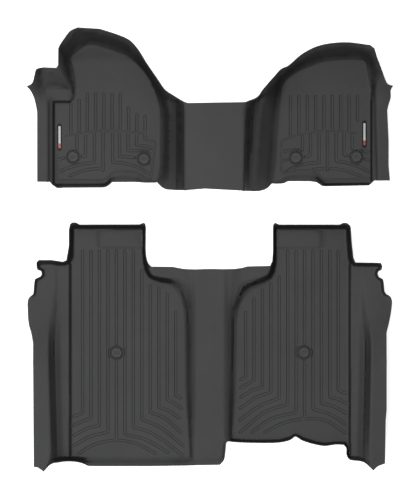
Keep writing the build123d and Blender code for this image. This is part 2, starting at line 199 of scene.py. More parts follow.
# ---------------------------------------------------------------- pressed sheet
def inside(pts: np.ndarray, loop: np.ndarray) -> np.ndarray:
    """Which points lie inside a closed loop, in plan."""
    x, y = pts[:, 0][:, None], pts[:, 1][:, None]
    x0, y0 = loop[:, 0], loop[:, 1]
    x1, y1 = np.roll(x0, -1), np.roll(y0, -1)
    over = (y0 > y) != (y1 > y)
    with np.errstate(divide="ignore", invalid="ignore"):
        cross = x < (x1 - x0) * (y - y0) / (y1 - y0) + x0
    return (np.sum(over & cross, axis=1) % 2) == 1


def distance_to(pts: np.ndarray, others: np.ndarray) -> np.ndarray:
    """Plan distance from each point to the nearest of some others."""
    tree = kdtree.KDTree(len(others))
    for i, p in enumerate(others):
        tree.insert((p[0], p[1], 0.0), i)
    tree.balance()
    return np.array([tree.find((p[0], p[1], 0.0))[2] for p in pts])


def distance_to_path(xy: np.ndarray, path: np.ndarray) -> np.ndarray:
    """Plan distance from each point to an open path."""
    best = np.full(len(xy), 1e9)
    for a, b in zip(path[:-1, :2], path[1:, :2]):
        span = b - a
        t = np.clip((xy - a) @ span / max(span @ span, 1e-9), 0, 1)
        best = np.minimum(best, np.linalg.norm(xy - a - t[:, None] * span, axis=1))
    return best


def thin_out(pts: np.ndarray, gap: float) -> np.ndarray:
    """Drops points that stand closer than a gap to one that is kept."""
    cells: dict[tuple[int, int], list[np.ndarray]] = {}
    kept = []
    for p in pts:
        cell = (int(p[0] // gap), int(p[1] // gap))
        near = [q for i in (-1, 0, 1) for j in (-1, 0, 1)
                for q in cells.get((cell[0] + i, cell[1] + j), [])]
        if all(math.hypot(p[0] - q[0], p[1] - q[1]) >= gap for q in near):
            cells.setdefault(cell, []).append(p)
            kept.append(p)
    return np.array(kept)


@dataclass(frozen=True)
class Groove:
    """A drain channel pressed into a flat floor along an open path, with sloping flanks."""

    path: Path
    bend: Bend = Bend.STRAIGHT
    half: float = 6.5
    flank: float = 2.8
    depth: float = 2.4
    margin: float = 1.8

    def middle(self) -> np.ndarray:
        """Points down its middle line."""
        return evenly(Run(self.path, self.bend).sample(CHANNEL_STEP), CHANNEL_STEP)

    def loops(self) -> tuple[np.ndarray, ...]:
        """Its outer margin, its upper edge and its lower edge."""
        middle = self.middle()
        return tuple(ring_round(middle, away)
                     for away in (self.half + self.margin, self.half, self.half - self.flank))

    def press(self, xy: np.ndarray) -> np.ndarray:
        """How far it presses the upper skin down at each point."""
        away = distance_to_path(xy, self.middle())
        return self.depth * np.clip((self.half - away) / self.flank, 0, 1)

    def clear_loops(self, bosses: tuple["Boss", ...]) -> list[np.ndarray]:
        """Its loops, cut where they come near a boss."""
        out = []
        for loop in self.loops():
            ring = np.vstack([loop, loop[:1]])
            keep = np.all([boss.away(ring) > boss.clear for boss in bosses], axis=0)
            for stretch in np.split(np.arange(len(ring)), np.flatnonzero(np.diff(keep)) + 1):
                if keep[stretch[0]] and len(stretch) > 1:
                    out.append(ring[stretch])
        return out


@dataclass(frozen=True)
class Boss:
    """A raised round seat for a hold-down, with a hole through it and a moat round it."""

    at: Spot
    hole: float = 15.0
    top: float = 25.0
    foot: float = 27.8
    moat: float = 31.5
    clear: float = 36.0
    rise: float = 4.8
    sink: float = 1.7
    bevel: float = 1.5
    bank: float = 1.8
    apron: float = 2.0
    fade: float = 2.5

    def away(self, pts: np.ndarray) -> np.ndarray:
        """Plan distance from its middle."""
        return np.linalg.norm(pts[:, :2] - np.array(self.at), axis=1)

    def rings(self) -> tuple[np.ndarray, ...]:
        """Its hole first, then its other rings outwards."""
        high = [circle(self.at, r, self.rise) for r in (self.hole, self.top - self.bevel, self.top)]
        low = [circle(self.at, r, 0.0)
               for r in (self.foot, self.moat - self.bank, self.moat, self.moat + self.apron)]
        return tuple(high + low)

    def press(self, xy: np.ndarray) -> np.ndarray:
        """How far it presses the upper skin down at each point."""
        stops = (self.top - self.bevel, self.top, self.foot, self.moat - self.bank, self.moat)
        return np.interp(self.away(xy), stops, (0.0, 0.5, self.sink, self.sink, 0.0))


@dataclass(frozen=True)
class PaintedFoldShade:
    """A tight fold, whose steep side gets painted shade: the liner's colour is darkened there."""

    points: tuple[Spot, ...]
    half: float = 5.0

    def covers(self, xy: np.ndarray) -> np.ndarray:
        """Which points lie on it, in plan."""
        return distance_to_path(xy, np.array(self.points)) < self.half


@dataclass
class PlanNet:
    """Points and edges in plan that the sheet's triangles have to keep."""

    points: list[np.ndarray] = field(default_factory=list)
    edges: list[tuple[int, int]] = field(default_factory=list)
    fixed: list[bool] = field(default_factory=list)

    def loose(self, pts: np.ndarray) -> None:
        """Adds points with no edges, whose heights are to be found."""
        self.points.extend(pts)
        self.fixed += [False] * len(pts)

    def line(self, pts: np.ndarray, closed: bool = False) -> list[int]:
        """Adds a line of points at given heights, and returns their numbers."""
        first = len(self.points)
        self.points.extend(pts)
        self.fixed += [True] * len(pts)
        numbers = list(range(first, first + len(pts)))
        self.edges += list(zip(numbers, numbers[1:]))
        if closed:
            self.edges.append((numbers[-1], numbers[0]))
        return numbers


def membrane(xy: np.ndarray, z: np.ndarray, known: np.ndarray, faces: np.ndarray) -> np.ndarray:
    """Heights of a stretched skin that passes through the known ones.

    Args:
        xy: plan positions.
        z: heights, true where known.
        known: which heights are known.
        faces: triangles.

    Returns:
        All heights.
    """
    rows, cols, vals = [], [], []
    for a, b, c in ((0, 1, 2), (1, 2, 0), (2, 0, 1)):
        i, j, k = faces[:, a], faces[:, b], faces[:, c]
        u, v = xy[i] - xy[k], xy[j] - xy[k]
        area = np.abs(u[:, 0] * v[:, 1] - u[:, 1] * v[:, 0])
        weight = np.clip((u * v).sum(1) / np.maximum(area, 1e-6), 0.02, 20.0)
        rows += [i, j]
        cols += [j, i]
        vals += [weight, weight]
    rows, cols, vals = np.concatenate(rows), np.concatenate(cols), np.concatenate(vals)
    count = len(z)
    total = np.bincount(rows, vals, count)
    free = ~known & (total > 0)

    def pull(h: np.ndarray) -> np.ndarray:
        """How far each free height is from balance."""
        return np.where(free, total * h - np.bincount(rows, vals * h[cols], count), 0.0)

    z = np.where(free, z[known].mean(), z)
    rest = -pull(z)
    scale = np.where(free, 1 / np.maximum(total, 1e-9), 0.0)
    step = scale * rest
    size = rest @ step
    for _ in range(1200):
        if size < 1e-7:
            break
        answer = pull(step)
        stride = size / max(step @ answer, 1e-30)
        z = z + stride * step
        rest = rest - stride * answer
        eased = scale * rest
        step, size = eased + (rest @ eased) / size * step, rest @ eased
    return z


@dataclass
class PressedSheet:
    """A liner: one sheet pressed over lines that stand at given heights."""

    name: str
    outline: tuple[Run, ...]
    creases: tuple[tuple[Run, ...], ...]
    floors: tuple[tuple[Run, ...], ...]
    grooves: tuple[Groove, ...]
    bosses: tuple[Boss, ...]
    folds: tuple[PaintedFoldShade, ...] = ()
    spacing: float = 13.0
    edge_gap: float = 3.0
    round_passes: int = 2

    def build(self) -> bpy.types.Object:
        """Makes the liner's mesh.

        Returns:
            The finished object, in metres, in the model's frame.
        """
        net = PlanNet()
        edge = chain(self.outline, LINE_STEP)[:-1]
        rim = net.line(edge, closed=True)
        for boss in self.bosses:
            for ring in boss.rings():
                net.line(ring, closed=True)
        lines = [chain(runs, LINE_STEP) for runs in self.creases]
        for pts in lines:
            keep = inside(pts, edge) & (distance_to(pts, edge) > self.edge_gap)
            for stretch in np.split(np.arange(len(pts)), np.flatnonzero(np.diff(keep)) + 1):
                if keep[stretch[0]] and len(stretch) > 1:
                    net.line(pts[stretch])
        rings = [chain(runs, LINE_STEP)[:-1] for runs in self.floors]
        for pts in rings:
            net.line(pts, closed=True)
        for groove in self.grooves:
            for stretch in groove.clear_loops(self.bosses):
                net.line(stretch)
            net.loose(self.off_bosses(groove.middle()[1:-1]))
        self.add_rows(net, edge, lines + rings)
        self.add_fill(net, edge)
        xy, z, faces = self.skin(net, rim)
        return self.mesh(xy, z, faces)

    def off_bosses(self, pts: np.ndarray) -> np.ndarray:
        """Only the points that keep clear of every boss."""
        return pts[np.all([boss.away(pts) > boss.clear for boss in self.bosses], axis=0)]

    def add_rows(self, net: PlanNet, edge: np.ndarray, lines: list[np.ndarray]) -> None:
        """Adds loose points beside each crease, so that it can be rounded."""
        for away, gap in ROWS:
            rows = []
            for pts in lines + [edge]:
                along = np.gradient(pts[:, :2], axis=0)
                along /= np.maximum(np.linalg.norm(along, axis=1), 1e-6)[:, None]
                for shift in (away, -away):
                    row = pts.copy()
                    row[:, 0] -= along[:, 1] * shift
                    row[:, 1] += along[:, 0] * shift
                    rows.append(row)
            row = np.vstack(rows)
            row = row[inside(row, edge)]
            row = row[distance_to(row, np.array(net.points)) > gap]
            net.loose(thin_out(row, 0.7 * away))

    def add_fill(self, net: PlanNet, edge: np.ndarray) -> None:
        """Adds an even spread of loose points over the rest of the sheet."""
        low, high = edge.min(0), edge.max(0)
        rise = self.spacing * math.sqrt(3) / 2
        spots = []
        for row, y in enumerate(np.arange(low[1], high[1], rise)):
            shift = self.spacing / 2 * (row % 2)
            spots += [(x, y, 0.0) for x in np.arange(low[0] + shift, high[0], self.spacing)]
        fill = np.array(spots)
        fill = fill[inside(fill, edge)]
        net.loose(fill[distance_to(fill, np.array(net.points)) > 0.55 * self.spacing])

    def skin(self, net: PlanNet, rim: list[int]) -> tuple[np.ndarray, ...]:
        """Fills the net with triangles and finds every height.

        Args:
            net: the points and edges.
            rim: the outline's numbers.

        Returns:
            Plan positions, underside heights and triangles.
        """
        pts = np.array(net.points)
        flat = [Vector((p[0], p[1])) for p in pts]
        verts, _, faces, sources, _, _ = delaunay_2d_cdt(flat, net.edges, [rim], 1, 1e-3)
        xy = np.array([(v.x, v.y) for v in verts])
        tris = np.array([f[:3] for f in faces])
        z = np.zeros(len(verts))
        known = np.zeros(len(verts), bool)
        for i, source in enumerate(sources):
            given = [pts[s][2] for s in source if net.fixed[s]]
            if given:
                z[i], known[i] = max(given), True
        solid = np.ones(len(tris), bool)
        for boss in self.bosses:
            solid &= ~inside(xy[tris].mean(1), boss.rings()[0])
        tris = tris[solid]
        z = membrane(xy, z, known, tris)
        on_rim = distance_to(xy, pts[rim]) < 0.5
        z = self.rounded(xy, z, tris, on_rim)
        used, tris = np.unique(tris, return_inverse=True)
        return xy[used], z[used], tris.reshape(-1, 3)

    def rounded(self, xy: np.ndarray, z: np.ndarray, faces: np.ndarray,
                held: np.ndarray) -> np.ndarray:
        """Softens the creases by letting each height settle towards its neighbours'."""
        near = np.vstack([faces[:, [0, 1]], faces[:, [1, 2]], faces[:, [2, 0]]])
        near = np.unique(np.sort(near, axis=1), axis=0)
        gap = np.linalg.norm(xy[near[:, 0]] - xy[near[:, 1]], axis=1)
        weight = np.tile(np.exp(-(gap / ROUNDING_REACH) ** 2), 2)
        rows = np.concatenate([near[:, 0], near[:, 1]])
        cols = np.concatenate([near[:, 1], near[:, 0]])
        total = np.bincount(rows, weight, len(z)) + ROUNDING_HOLD
        for boss in self.bosses:
            held = held | (boss.away(xy) < boss.moat)
        for _ in range(self.round_passes):
            mean = (np.bincount(rows, weight * z[cols], len(z)) + ROUNDING_HOLD * z) / total
            z = np.where(held, z, mean)
        return z

    def mesh(self, xy: np.ndarray, z: np.ndarray, faces: np.ndarray) -> bpy.types.Object:
        """Gives the skin its thickness and presses its channels in."""
        a, b, c = (xy[faces[:, k]] for k in range(3))
        turn = (b[:, 0] - a[:, 0]) * (c[:, 1] - a[:, 1]) - (b[:, 1] - a[:, 1]) * (c[:, 0] - a[:, 0])
        faces = np.where(turn[:, None] > 0, faces, faces[:, ::-1])
        data = bpy.data.meshes.new(self.name)
        top = np.column_stack([xy, z + SHEET]) * MM
        data.from_pydata(top.tolist(), [], faces.tolist())
        sheet = bpy.data.objects.new(self.name, data)
        bpy.context.scene.collection.objects.link(sheet)
        thick = sheet.modifiers.new("thickness", "SOLIDIFY")
        thick.thickness = SHEET * MM
        thick.offset = -1
        thick.use_even_offset = True
        thick.thickness_clamp = SPIKE_LIMIT
        sheet.data = applied(sheet)
        press = np.zeros(len(xy))
        for groove in self.grooves:
            press = np.maximum(press, groove.press(xy))
        for boss in self.bosses:
            outside = np.clip((boss.away(xy) - boss.moat - boss.apron) / boss.fade, 0, 1)
            press = np.maximum(press * outside, boss.press(xy))
        self.finish(sheet.data, press)
        return sheet

    def finish(self, data: bpy.types.Mesh, press: np.ndarray) -> None:
        """Presses the channels into the upper skin, and marks their flanks and the folds' steep sides
        for painted shade.
        """
        upper = len(press)
        co = np.zeros(len(data.vertices) * 3, np.float32)
        data.vertices.foreach_get("co", co)
        co = co.reshape(-1, 3)
        wide = np.linalg.norm(co[:upper] - co[upper:2 * upper], axis=1) > SPIKE_LIMIT * SHEET * MM
        below = co[:upper] - np.array((0, 0, SHEET * MM))
        co[upper:2 * upper] = np.where(wide[:, None], below, co[upper:2 * upper])
        co[:upper, 2] -= press * MM
        data.vertices.foreach_set("co", co.ravel())
        data.update()
        data.polygons.foreach_set("use_smooth", [True] * len(data.polygons))
        data.set_sharp_from_angle(angle=math.radians(SHARP_ANGLE))
        flanks = []
        for face in data.polygons:
            deep = [press[i] for i in face.vertices if i < upper]
            whole = len(deep) == len(face.vertices)
            flanks.append(1.0 if whole and max(deep) - min(deep) > FLANK_DROP else 0.0)
        # The flank attribute marks the faces where the liner's finish paints shade: channel flanks and
        # steep fold sides.
        marks = np.maximum(flanks, self.painted_fold_shade(data))
        data.attributes.new("flank", "FLOAT", "FACE").data.foreach_set("value", marks)

    def painted_fold_shade(self, data: bpy.types.Mesh) -> np.ndarray:
        """One for each face on the steep side of a tight fold, where shade is painted, and nought for
        the rest.
        """
        centre = np.zeros(len(data.polygons) * 3, np.float32)
        data.polygons.foreach_get("center", centre)
        normal = np.zeros(len(data.polygons) * 3, np.float32)
        data.polygons.foreach_get("normal", normal)
        xy, up = centre.reshape(-1, 3)[:, :2] / MM, normal.reshape(-1, 3)[:, 2]
        near = np.zeros(len(up), bool)
        for fold in self.folds:
            near |= fold.covers(xy)
        return np.where(near & (up > STEEP_UP[0]) & (up < STEEP_UP[1]), 1.0, 0.0)


def applied(piece: bpy.types.Object) -> bpy.types.Mesh:
    """The piece's mesh with its modifiers applied, which are then removed."""
    graph = bpy.context.evaluated_depsgraph_get()
    graph.update()
    mesh = bpy.data.meshes.new_from_object(piece.evaluated_get(graph))
    mesh.name = piece.name
    piece.modifiers.clear()
    return mesh


# ----------------------------------------------------------------- front liner
def straight_rib(x: float, top: float, bottom: float) -> Groove:
    """A channel that runs straight from front to rear."""
    return Groove(((x, top, 0.0), (x, bottom, 0.0)))


def swept_rib(x: float, top: float, bottom: float, *sweep: Spot) -> Groove:
    """A channel that runs rearwards, then turns sharply and sweeps sideways."""
    return Groove(((x, top, 0.0), (x, bottom, 0.0)) + flat(*sweep))


def sweep(*points: Spot, half: float = 6.2) -> Groove:
    """A curved channel on a floor."""
    return Groove(flat(*points), Bend.SMOOTH, half)


def contour(*points: Spot, bend: Bend = Bend.STRAIGHT) -> Groove:
    """A narrow groove on a floor."""
    return Groove(flat(*points), bend, half=3.6, flank=1.8, depth=1.8)


def flat(*points: Spot) -> Path:
    """Points at floor height."""
    return tuple((x, y, 0.0) for x, y in points)


@dataclass
class FrontLiner:
    """The one-piece front liner: two footwells, their toe walls and the hump between them."""

    driver_first: float = -634.0
    driver_pitch: float = 35.5
    passenger_first: float = 346.0
    passenger_pitch: float = 36.0
    passenger_top: float = 661.0
    above_badge: float = 558.0
    rib_gap: float = 9.0
    hold_downs: tuple[Spot, ...] = ((-589, 401), (-284, 392), (370, 397), (630, 401))

    def outline(self) -> tuple[Run, ...]:
        """The trimmed edge, clockwise from the driver's side sill, with its heights."""
        return (
            line((-743, 293, 38), (-743, 592, 38)),
            curve((-743, 592, 38), (-748, 620, 40), (-757, 655, 48), (-770, 682, 66), (-787, 702, 88)),
            curve((-787, 702, 88), (-762, 716, 104), (-752, 750, 128), (-744, 774, 150),
                  (-722, 783, 114)),
            line((-722, 783, 114), (-660, 781, 116), (-650, 795, 124), (-649, 864, 186)),
            curve((-649, 864, 186), (-640, 882, 198), (-619, 912, 214), (-598, 938, 224),
                  (-568, 952, 228)),
            line((-568, 952, 228), (-473, 946, 228)),
            curve((-473, 946, 228), (-396, 921, 224), (-346, 898, 216), (-310, 859, 206),
                  (-275, 803, 196), (-228, 734, 188), (-193, 685, 184), (-160, 663, 183),
                  (-124, 641, 182), (-95, 631, 183)),
            line((-95, 631, 183), (30, 633, 186), (155, 635, 183)),
            curve((155, 635, 183), (204, 655, 180), (228, 687, 176), (280, 747, 166),
                  (308, 776, 160), (335, 788, 160), (400, 842, 168), (473, 876, 178),
                  (580, 889, 182), (688, 877, 180)),
            line((688, 877, 180), (705, 863, 174), (714, 829, 152), (757, 721, 84)),
            curve((757, 721, 84), (766, 711, 78), (787, 704, 72)),
            curve((787, 704, 72), (777, 687, 56), (777, 655, 44), (768, 625, 39), (762, 601, 38)),
            line((762, 601, 38), (768, 470, 38), (768, 364, 38), (774, 298, 38), (723, 298, 38),
                 (715, 298, 21), (705, 298, 20), (697, 290, 10), (690, 284, 4), (682, 280, 14),
                 (482, 276, 22), (460, 292, 20), (434, 296, 20), (335, 297, 20), (314, 286, 14),
                 (267, 287, 6)),
            curve((267, 287, 6), (247, 266, 27), (216, 254, 60), (182, 252, 98)),
            line((182, 252, 98), (168, 253, 114), (146, 254, 182), (-21, 263, 186),
                 (-107, 256, 182), (-151, 257, 110), (-161, 258, 99)),
            curve((-161, 258, 99), (-190, 261, 60), (-213, 275, 20), (-228, 291, 8)),
            line((-228, 291, 8), (-292, 290, 8), (-312, 293, 16), (-421, 293, 20),
                 (-438, 278, 22), (-452, 270, 22), (-658, 268, 22), (-670, 275, 16),
                 (-677, 281, 20), (-689, 293, 22), (-697, 293, 38), (-743, 293, 38)),
        )

    def floors(self) -> tuple[tuple[Run, ...], ...]:
        """The foot of the walls all round each footwell, ramps included."""
        driver = (
            line((-668, 288, 0), (-668, 633, 0), (-598, 633, 0), (-588, 650, 0), (-580, 687, 1)),
            curve((-580, 687, 1), (-578, 708, 4), (-580, 730, 8), (-589, 786, 21), (-598, 812, 29)),
            curve((-598, 812, 29), (-596, 829, 39), (-565, 858, 56), (-541, 876, 66),
                  (-507, 884, 70), (-473, 877, 67), (-430, 863, 59), (-387, 848, 50),
                  (-344, 829, 38), (-301, 790, 22), (-267, 751, 13), (-249, 713, 5),
                  (-232, 674, 0), (-219, 631, 0), (-213, 592, 0)),
            line((-213, 592, 0), (-213, 364, 0), (-223, 310, 0), (-236, 299, 1), (-275, 300, 1),
                 (-301, 314, 0), (-322, 326, 0), (-400, 328, 0), (-424, 318, 0), (-442, 296, 0),
                 (-458, 288, 0), (-668, 288, 0)),
        )
        passenger = (
            line((267, 292, 1), (280, 364, 0), (288, 472, 0), (297, 601, 0)),
            curve((297, 601, 0), (305, 665, 0), (314, 713, 3), (344, 747, 11), (387, 773, 17),
                  (430, 790, 22), (473, 807, 26), (537, 816, 28), (640, 818, 28), (666, 812, 27),
                  (674, 782, 20), (684, 730, 7), (692, 690, 0), (690, 633, 0)),
            line((690, 633, 0), (690, 288, 0), (500, 286, 0), (452, 330, 0), (434, 334, 0),
                 (387, 334, 0), (335, 329, 0), (312, 316, 0), (300, 298, 0), (267, 292, 1)),
        )
        return driver, passenger

    def creases(self) -> tuple[tuple[Run, ...], ...]:
        """Every other line that stands at a known height."""
        return self.driver_side() + self.middle() + self.passenger_side()

    def driver_side(self) -> tuple[tuple[Run, ...], ...]:
        """Sill steps, foot rest, ridge, corner facet and ramp bends of the driver's side."""
        return (
            (line((-697, 293, 38), (-697, 600, 38)),
             curve((-697, 600, 38), (-700, 640, 36), (-706, 660, 34), (-712, 690, 36),
                   (-717, 730, 66), (-720, 783, 113))),
            (line((-688, 293, 21), (-688, 632, 21)),),
            (line((-677, 290, 20), (-677, 641, 20), (-603, 641, 20), (-590, 660, 16)),),
            (line((-706, 690, 30), (-606, 690, 24)),),
            (line((-654, 782, 117), (-632, 732, 72), (-606, 690, 30), (-596, 664, 16)),),
            (line((-646, 784, 118), (-624, 732, 74), (-598, 690, 32), (-586, 660, 10)),),
            (line((-645, 872, 190), (-597, 829, 39)),),
            (line((-568, 949, 226), (-541, 876, 66)),),
            (line((-579, 690, 1), (-237, 690, 0)),),
            (line((-579, 721, 6), (-251, 721, 6)),),
            (line((-596, 807, 27), (-322, 807, 26)),),
        )

    def middle(self) -> tuple[tuple[Run, ...], ...]:
        """The ledge and shoulder lines on both sides of the hump."""
        return (
            (line((-162, 259, 99), (-160, 300, 99), (-160, 600, 99), (-168, 640, 108)),),
            (line((-151, 258, 110), (-150, 600, 110), (-154, 632, 120)),),
            (line((-107, 257, 182), (-107, 600, 182), (-110, 634, 182)),),
            (line((-21, 264, 186), (-21, 630, 186)),),
            (line((146, 255, 182), (146, 600, 182), (150, 633, 182)),),
            (line((168, 254, 114), (170, 334, 114), (191, 600, 114), (198, 640, 122)),),
            (line((182, 253, 98), (184, 334, 98), (206, 600, 98), (216, 655, 108)),),
        )

    def passenger_side(self) -> tuple[tuple[Run, ...], ...]:
        """Sill steps and the ramp bend of the passenger's side."""
        return (
            (line((722, 300, 38), (712, 640, 38)),
             curve((712, 640, 38), (710, 665, 44), (714, 700, 62), (722, 730, 80), (740, 762, 108))),
            (line((714, 300, 21), (704, 638, 21), (703, 665, 24)),),
            (line((699, 294, 20), (697, 640, 20), (698, 680, 20)),),
            (line((310, 694, 1), (690, 694, 1)),),
        )

    def driver_arc(self, x: float) -> float:
        """How far forward the driver's cross groove lies: a shallow arc over the whole floor."""
        middle, crown, reach, fall = -430, 513, 190, 23
        return crown - fall * ((x - middle) / reach) ** 2

    def driver_ribs(self) -> tuple[Groove, ...]:
        """The channels of the driver's floor."""
        tops = (628, 644, 670, 670, 670, 670, 670, 610, 584, 575)
        places = [self.driver_first + self.driver_pitch * k for k in range(1, len(tops) + 1)]
        upper = [straight_rib(x, top, self.driver_arc(x) + self.rib_gap)
                 for x, top in zip(places, tops)]
        cross = contour(*((x, self.driver_arc(x)) for x in range(-619, -280, 16)),
                        bend=Bend.SMOOTH)
        lower = (
            straight_rib(-572, 490, 436),
            swept_rib(-535, 502, 403, (-552, 402)),
            sweep((-620, 399), (-652, 388)),
            swept_rib(-497, 508, 376, (-537, 372), (-580, 362), (-619, 350), (-652, 334)),
            straight_rib(-460, 510, 343),
            sweep((-470, 350), (-497, 349), (-537, 343), (-567, 334), (-602, 318)),
            swept_rib(-419, 510, 376, (-387, 376), (-344, 368), (-301, 351), (-262, 326)),
            swept_rib(-389, 508, 401, (-353, 401), (-318, 396)),
            sweep((-262, 374), (-250, 366)),
            swept_rib(-353, 504, 427, (-300, 427), (-245, 424)),
            swept_rib(-316, 498, 450, (-279, 447), (-243, 440)),
            straight_rib(-279, 500, 474),
        )
        pocket = contour((-656, 407), (-656, 300), (-464, 300), (-445, 308), (-421, 330),
                         (-400, 338), (-322, 337), (-301, 326), (-275, 310), (-254, 305),
                         (-244, 380), (-233, 467), (-279, 474))
        return tuple(upper) + (cross,) + lower + (pocket,)

    def passenger_ribs(self) -> tuple[Groove, ...]:
        """The channels of the passenger's floor."""
        arc = ((310, 468), (335, 481), (366, 491), (408, 502), (451, 508), (516, 513),
               (580, 508), (632, 502))
        cross = contour(*arc, bend=Bend.SMOOTH)
        places = [self.passenger_first + self.passenger_pitch * k for k in range(9)]
        stops = np.interp(places, [x for x, _ in arc], [y for _, y in arc]) + self.rib_gap
        stops[-1] = self.above_badge
        upper = [straight_rib(x, self.passenger_top, stop) for x, stop in zip(places, stops)]
        lower = (
            swept_rib(398, 490, 430, (360, 430), (312, 424)),
            swept_rib(432, 496, 404, (402, 400)),
            sweep((338, 391), (312, 382)),
            swept_rib(469, 500, 374, (430, 374), (390, 366), (350, 350), (318, 332)),
            straight_rib(505, 503, 343),
            sweep((492, 349), (470, 349), (440, 346)),
            sweep((518, 349), (540, 349), (580, 342), (610, 332), (650, 316)),
            swept_rib(542, 502, 382, (580, 377), (620, 366), (655, 352), (680, 338)),
            swept_rib(576, 499, 407, (598, 404)),
            sweep((661, 394), (682, 386)),
            swept_rib(611, 496, 433, (645, 430), (682, 420)),
        )
        pocket = contour((307, 468), (307, 343), (312, 328), (335, 338), (387, 343), (434, 343),
                         (447, 338), (494, 302), (684, 308))
        return tuple(upper) + (cross,) + lower + (pocket,)

    def sheet(self) -> PressedSheet:
        """The whole liner."""
        return PressedSheet("front_liner_skin", self.outline(), self.creases(), self.floors(),
                            self.driver_ribs() + self.passenger_ribs(),
                            tuple(Boss(at) for at in self.hold_downs), self.folds())

    def folds(self) -> tuple[PaintedFoldShade, ...]:
        """The tight folds beside the sills, along the rear lips and above the hump's ledges, whose steep
        sides get painted shade.
        """
        return (
            PaintedFoldShade(((-673, 291), (-673, 637), (-604, 637))),
            PaintedFoldShade(((-665, 280), (-455, 281), (-440, 288), (-422, 310), (-400, 322), (-322, 320))),
            PaintedFoldShade(((693, 300), (693, 640)), 4.0),
            PaintedFoldShade(((-129, 258), (-129, 640)), 18.0),
            PaintedFoldShade(((155, 254), (158, 400), (165, 600), (168, 640)), 13.0),
            PaintedFoldShade(((175, 420), (184, 600), (188, 640)), 6.0),
            PaintedFoldShade(((335, 322), (434, 326), (452, 320), (492, 283), (684, 284))),
        )


